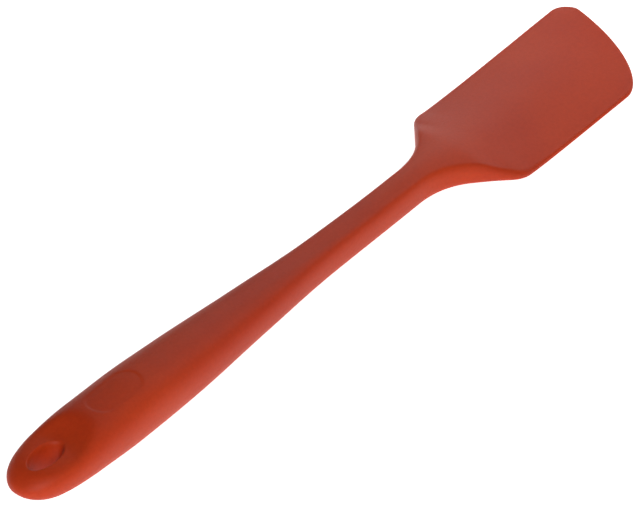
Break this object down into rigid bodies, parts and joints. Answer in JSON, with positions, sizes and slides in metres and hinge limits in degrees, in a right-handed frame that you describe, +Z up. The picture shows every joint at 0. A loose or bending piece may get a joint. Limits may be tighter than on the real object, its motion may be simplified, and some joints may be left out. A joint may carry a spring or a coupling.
{
  "type": "silicone scraping spatula",
  "caption": "Small one-piece silicone spatula with an asymmetric scraping blade, slim neck, swollen handle and hang hole.",
  "frame": {"origin": "on the resting plane, under the middle of the tool's bounding box", "axes": "+X from the handle's butt to the blade's tip, +Y towards the blade edge that ends in the square corner, +Z up from the flat back"},
  "size_m": [0.2084, 0.0312, 0.0142],
  "materials": {
    "red_silicone": "satin moulded",
    "glass_filled_nylon": "matte moulded"
  },
  "bodies": {
    "root": {"silicone_body": "red_silicone", "stiffening_core": "glass_filled_nylon"}
  },
  "joints": []
}
